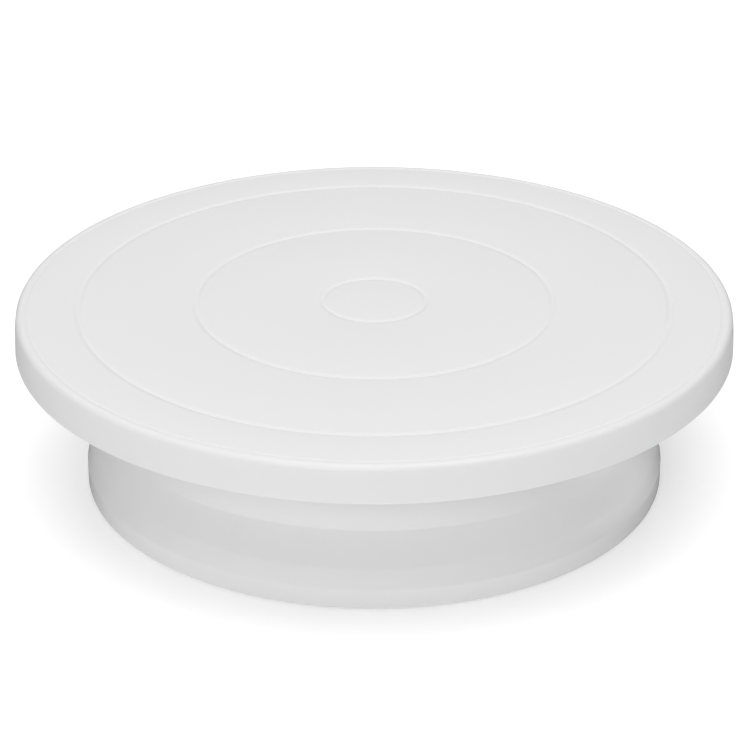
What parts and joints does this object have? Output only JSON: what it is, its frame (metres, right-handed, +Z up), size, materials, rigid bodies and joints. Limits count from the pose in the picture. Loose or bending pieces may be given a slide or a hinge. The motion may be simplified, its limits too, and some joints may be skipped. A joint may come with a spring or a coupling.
{
  "type": "cake turntable",
  "caption": "Round white plastic cake turntable: a flat plate with shallow centring rings and a turned-down rim spins on a ball bearing in a low flared base.",
  "frame": {"origin": "on the spin axis, in the plane that the rubber feet stand on", "axes": "+Z up along the plate's spin axis; +X towards rubber_foot_1; the object looks the same all round"},
  "size_m": [0.28, 0.28, 0.073],
  "materials": {
    "plate_plastic": "satin moulded white",
    "base_plastic": "polished moulded white",
    "race_steel": "pressed sheet steel with a thin film of grease",
    "pin_steel": "turned and zinc plated",
    "ball_steel": "ground and polished",
    "nylon": "natural nylon, moulded",
    "rubber": "soft grey, matt"
  },
  "bodies": {
    "base": {"base_shell": "base_plastic", "lower_race_ring": "race_steel", "spindle_bush": "nylon", "rubber_foot_1": "rubber", "rubber_foot_2": "rubber", "rubber_foot_3": "rubber", "rubber_foot_4": "rubber", "rubber_foot_5": "rubber", "rubber_foot_6": "rubber"},
    "plate": {"turntable_plate": "plate_plastic", "upper_race_ring": "race_steel", "spindle": "pin_steel", "retaining_washer": "pin_steel", "retaining_screw": "pin_steel"},
    "cage": {"ball_cage": "nylon"},
    "ball_01": {"ball_01": "ball_steel"},
    "ball_02": {"ball_02": "ball_steel"},
    "ball_03": {"ball_03": "ball_steel"},
    "ball_04": {"ball_04": "ball_steel"},
    "ball_05": {"ball_05": "ball_steel"},
    "ball_06": {"ball_06": "ball_steel"},
    "ball_07": {"ball_07": "ball_steel"},
    "ball_08": {"ball_08": "ball_steel"},
    "ball_09": {"ball_09": "ball_steel"},
    "ball_10": {"ball_10": "ball_steel"},
    "ball_11": {"ball_11": "ball_steel"},
    "ball_12": {"ball_12": "ball_steel"}
  },
  "joints": [
    {"name": "plate_spin", "type": "hinge", "parent": "base", "child": "plate", "pos_m": [0, 0, 0.065], "axis": [0, 0, 1], "continuous": true},
    {"name": "cage_spin", "type": "hinge", "parent": "base", "child": "cage", "pos_m": [0, 0, 0.065], "axis": [0, 0, 1], "continuous": true},
    {"name": "ball_01_spin", "type": "hinge", "parent": "cage", "child": "ball_01", "pos_m": [0.046, 0, 0.065], "axis": [1, 0, 0], "continuous": true},
    {"name": "ball_02_spin", "type": "hinge", "parent": "cage", "child": "ball_02", "pos_m": [0.03984, 0.023, 0.065], "axis": [0.866, 0.5, 0], "continuous": true},
    {"name": "ball_03_spin", "type": "hinge", "parent": "cage", "child": "ball_03", "pos_m": [0.023, 0.03984, 0.065], "axis": [0.5, 0.866, 0], "continuous": true},
    {"name": "ball_04_spin", "type": "hinge", "parent": "cage", "child": "ball_04", "pos_m": [0, 0.046, 0.065], "axis": [0, 1, 0], "continuous": true},
    {"name": "ball_05_spin", "type": "hinge", "parent": "cage", "child": "ball_05", "pos_m": [-0.023, 0.03984, 0.065], "axis": [-0.5, 0.866, 0], "continuous": true},
    {"name": "ball_06_spin", "type": "hinge", "parent": "cage", "child": "ball_06", "pos_m": [-0.03984, 0.023, 0.065], "axis": [-0.866, 0.5, 0], "continuous": true},
    {"name": "ball_07_spin", "type": "hinge", "parent": "cage", "child": "ball_07", "pos_m": [-0.046, 0, 0.065], "axis": [-1, 0, 0], "continuous": true},
    {"name": "ball_08_spin", "type": "hinge", "parent": "cage", "child": "ball_08", "pos_m": [-0.03984, -0.023, 0.065], "axis": [-0.866, -0.5, 0], "continuous": true},
    {"name": "ball_09_spin", "type": "hinge", "parent": "cage", "child": "ball_09", "pos_m": [-0.023, -0.03984, 0.065], "axis": [-0.5, -0.866, 0], "continuous": true},
    {"name": "ball_10_spin", "type": "hinge", "parent": "cage", "child": "ball_10", "pos_m": [0, -0.046, 0.065], "axis": [0, -1, 0], "continuous": true},
    {"name": "ball_11_spin", "type": "hinge", "parent": "cage", "child": "ball_11", "pos_m": [0.023, -0.03984, 0.065], "axis": [0.5, -0.866, 0], "continuous": true},
    {"name": "ball_12_spin", "type": "hinge", "parent": "cage", "child": "ball_12", "pos_m": [0.03984, -0.023, 0.065], "axis": [0.866, -0.5, 0], "continuous": true}
  ],
  "couplings": [
    {"joint": "cage_spin", "follows": "plate_spin", "ratio": 0.5},
    {"joint": "ball_01_spin", "follows": "plate_spin", "ratio": -7.6667},
    {"joint": "ball_02_spin", "follows": "plate_spin", "ratio": -7.6667},
    {"joint": "ball_03_spin", "follows": "plate_spin", "ratio": -7.6667},
    {"joint": "ball_04_spin", "follows": "plate_spin", "ratio": -7.6667},
    {"joint": "ball_05_spin", "follows": "plate_spin", "ratio": -7.6667},
    {"joint": "ball_06_spin", "follows": "plate_spin", "ratio": -7.6667},
    {"joint": "ball_07_spin", "follows": "plate_spin", "ratio": -7.6667},
    {"joint": "ball_08_spin", "follows": "plate_spin", "ratio": -7.6667},
    {"joint": "ball_09_spin", "follows": "plate_spin", "ratio": -7.6667},
    {"joint": "ball_10_spin", "follows": "plate_spin", "ratio": -7.6667},
    {"joint": "ball_11_spin", "follows": "plate_spin", "ratio": -7.6667},
    {"joint": "ball_12_spin", "follows": "plate_spin", "ratio": -7.6667}
  ]
}
